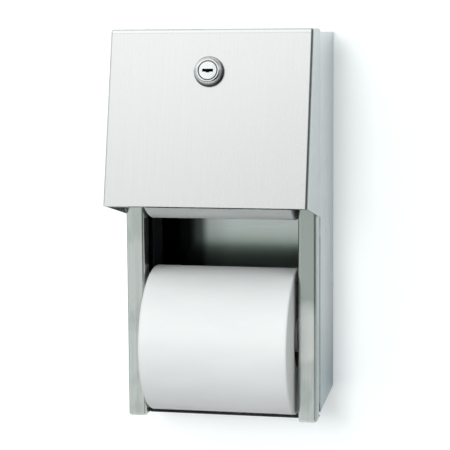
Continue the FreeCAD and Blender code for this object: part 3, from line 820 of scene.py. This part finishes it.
def dress_frame():
    # The stainless parts get their own tones: the legs' green, the sides' blue and the back's
    # darker green tone are painted reflection colour as well as the sheets' own.
    door = satin_stainless(
        "door_stainless", (0.765, 0.766, 0.758), 0.27, UPRIGHT_BRUSH,
        depth=0.025, lean=DOOR_LEAN, marks=door_marks,
    )
    legs = satin_stainless(
        "leg_stainless", (0.68, 0.715, 0.69), 0.25, LEG_BRUSH, depth=0.10, marks=leg_marks
    )
    sides = satin_stainless(
        "side_stainless", (0.68, 0.72, 0.73), 0.27, UPRIGHT_BRUSH, depth=0.04, marks=side_marks
    )
    top = satin_stainless("top_stainless", (0.70, 0.715, 0.71), 0.27, TOP_BRUSH)
    back = satin_stainless(
        "back_stainless", (0.51, 0.56, 0.535), 0.15, BACK_BRUSH,
        spread=0.6, turned=0.25, marks=back_marks,
    )
    # Painted shade: the tie strap is near black, standing for the deep shade under the lower roll.
    strap = satin_stainless("strap_stainless", (0.055, 0.058, 0.058), 0.40, STRAP_BRUSH)
    spindles = moulded_plastic(
        "spindle_plastic", (0.62, 0.63, 0.62), (0.72, 0.72, 0.71), 0.42, 2200
    )
    bushes = moulded_plastic("bush_nylon", (0.70, 0.69, 0.64), (0.80, 0.79, 0.75), 0.50, 2600)

    dress(door, "door_cover")
    dress(legs, *both("leg_channel"))
    dress(sides, *both("side_panel"))
    dress(top, "top_panel")
    dress(back, "back_panel")
    dress(strap, "bottom_tie_strap")
    dress(black_coat(), *both("rear_guide"))
    dress(
        zinc_plate(), *both("drop_lever"), "lock_keeper", "lock_cam", "cam_screw", "lock_nut",
        "lever_pins", "lever_clips", "hinge_studs", "hinge_clips",
    )
    dress(bright_chrome("lock_bezel_chrome", bezel_shade_and_soil), "lock_housing")
    dress(bright_chrome("lock_plug_chrome", keyway_shade_and_rim), "lock_plug")
    for level in LEVELS:
        dress(spindles, f"{level}_spindle_sleeve", f"{level}_spindle_plunger")
    dress(bushes, "hinge_bushes")


# Stage: a pale wall that runs down in one sweep to a pale floor, seen from its front alone

WALL_Y = -0.00045
FLOOR_Z = -0.50
COVE, COVE_STEPS = 0.15, 12
REACH, FLOOR_REACH = 9.0, 1.1
WALL_TONE, WALL_GLOW_TINT = (0.84, 0.83, 0.83, 1), (0.95, 1, 1, 1)
WALL_GLOW, SHADED_GLOW = 0.36, 0.20
SHADE_EDGE, SHADE_DROP = (-0.008, 0.020), 0.014
MIRRORED_LOW, MIRRORED_HIGH, MIRRORED_RISE = 0.14, 0.68, (-0.17, 0.10)


def backdrop():
    """The wall glows a little, and less beside and under the cabinet, a painted shadow. Bright
    metal mirrors part of the glow."""
    material, t = new_finish("stage_white")
    plain = t.add("ShaderNodeBsdfDiffuse", {}, {"Color": WALL_TONE})
    ray = t.add("ShaderNodeLightPath")
    x, _, z = t.spot()
    share = MIRRORED_LOW + (MIRRORED_HIGH - MIRRORED_LOW) * z.step(*MIRRORED_RISE)
    mirrored = ray["Is Glossy Ray"].at_least(ray["Is Transmission Ray"]) * share
    shown = ray["Is Camera Ray"].at_least(mirrored)
    low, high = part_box("right_side_panel")
    # Painted shadow on the wall: the glow falls off within a few centimetres beside and under the
    # cabinet.
    away = (abs(x) - high.x).at_least(low.z - SHADE_DROP - z).at_least(z - high.z + SHADE_EDGE[1])
    strength = SHADED_GLOW + (WALL_GLOW - SHADED_GLOW) * away.step(*SHADE_EDGE)
    glow = t.add("ShaderNodeEmission", {}, {"Color": WALL_GLOW_TINT, "Strength": shown * strength})
    lit = t.add("ShaderNodeAddShader", {}, {0: plain["BSDF"], 1: glow["Emission"]})
    clear = t.add("ShaderNodeBsdfTransparent")
    behind = t.add("ShaderNodeNewGeometry")["Backfacing"]
    seen = t.add("ShaderNodeMixShader", {}, {0: behind, 1: lit["Shader"], 2: clear["BSDF"]})
    t.add("ShaderNodeOutputMaterial", {}, {"Surface": seen["Shader"]})

    cove = []
    for i in range(COVE_STEPS + 1):
        angle = math.pi / 2 * i / COVE_STEPS
        cove.append((WALL_Y - COVE * (1 - math.cos(angle)), FLOOR_Z + COVE * (1 - math.sin(angle))))
    sweep("wall", [(WALL_Y, REACH), *cove], material)
    floor = sweep("floor", [cove[-1], (-FLOOR_REACH, FLOOR_Z)], material)
    floor.visible_diffuse = False


def sweep(name, outline, material):
    """A stage sheet with this outline in y and z, drawn out along x."""
    shape = bmesh.new()
    rows = [[shape.verts.new((x, y, z)) for y, z in outline] for x in (-REACH, REACH)]
    for i in range(len(outline) - 1):
        shape.faces.new((rows[0][i], rows[0][i + 1], rows[1][i + 1], rows[1][i]))
    mesh = bpy.data.meshes.new(name)
    shape.to_mesh(mesh)
    shape.free()
    mesh.materials.append(material)
    for face in mesh.polygons:
        face.use_smooth = True
    made = bpy.data.objects.new(name, mesh)
    bpy.context.scene.collection.objects.link(made)
    return made


ROOM_TINT = (0.97, 1.0, 1.0, 1)
LAMP_AIM = (0, -0.07, 0)


def studio_light():
    """A soft white room, brightest in a band above, dim to the right of the front and below."""
    world = bpy.data.worlds.new("studio")
    bpy.context.scene.world = world
    world.use_nodes = True
    world.node_tree.nodes.clear()
    t = Tree(world.node_tree)
    way = t.add("ShaderNodeTexCoord")["Generated"]
    parts = t.add("ShaderNodeSeparateXYZ", {}, {"Vector": way})
    x, y, z = parts["X"], parts["Y"], parts["Z"]
    walls = 0.78 + 0.10 * z.step(-0.1, 0.25)
    band = 0.58 * z.step(0.24, 0.50) - 0.50 * z.step(0.52, 0.85)
    floor = 0.70 * (-z).step(0.2, 0.55)
    dim_from = x - 0.08 * z.fade(0, 0.35)
    dim = dim_from.step(-0.26, 0.30) - 0.55 * x.step(0.55, 0.95)
    dim = dim * (1 - 0.5 * z.step(0.28, 0.46)) * (-y).step(-0.1, 0.1)
    level = (walls + band - floor) * (1 - 0.95 * dim)
    level = level.at_least(t.add("ShaderNodeLightPath")["Is Camera Ray"])
    shade = t.add("ShaderNodeBackground", {}, {"Color": ROOM_TINT, "Strength": level})
    t.add("ShaderNodeOutputWorld", {}, {"Surface": shade["Background"]})

    soft_box("key", 11.5, size=(0.5, 0.6), place=(-0.20, -2.20, 0.50), tint=(0.98, 1, 1))
    soft_box("fill", 5.5, size=(1.0, 1.0), place=(1.5, -1.7, 0.35), tint=(0.88, 1, 1))
    soft_box("bounce", 4.6, size=(0.8, 0.3), place=(-0.05, -2.00, -0.40), tint=(0.91, 1, 1))


def soft_box(name, energy, size, place, tint):
    """A lamp that lights the dull surfaces and doesn't show in the bright ones."""
    lamp = bpy.data.lights.new(name, "AREA")
    lamp.shape = "RECTANGLE"
    lamp.size, lamp.size_y = size
    lamp.energy = energy
    lamp.color = tint
    box = bpy.data.objects.new(name, lamp)
    box.location = place
    box.visible_glossy = False
    aim = Vector(LAMP_AIM) - box.location
    box.rotation_mode = "QUATERNION"
    box.rotation_quaternion = aim.to_track_quat("-Z", "Y")
    bpy.context.scene.collection.objects.link(box)


CAMERA_SENSOR, CAMERA_LENS = 36, 125.46
CAMERA_CLIP = (0.05, 60)
CAMERA_PLACE = (0.2482, -1.2552, 0.14895)
CAMERA_RIGHT = (0.97883, 0.204555, -0.0070)
CAMERA_UP = (-0.018325, 0.121649, 0.992404)
CAMERA_BACK = (0.203853, -0.971267, 0.122822)


def camera():
    data = bpy.data.cameras.new("camera")
    data.sensor_width = CAMERA_SENSOR
    data.lens = CAMERA_LENS
    data.clip_start, data.clip_end = CAMERA_CLIP
    eye = bpy.data.objects.new("camera", data)
    turned = Matrix((CAMERA_RIGHT, CAMERA_UP, CAMERA_BACK)).transposed().to_4x4()
    eye.matrix_world = Matrix.Translation(CAMERA_PLACE) @ turned
    bpy.context.scene.collection.objects.link(eye)
    bpy.context.scene.camera = eye


bpy.context.scene.view_settings.view_transform = "Standard"
dress_frame()
spring_wire = drawn_wire()
for level in LEVELS:
    wound_roll(level)
    spindle_spring(level, spring_wire)
for side in SIDES:
    lever_spring(side, spring_wire)
backdrop()
studio_light()
camera()
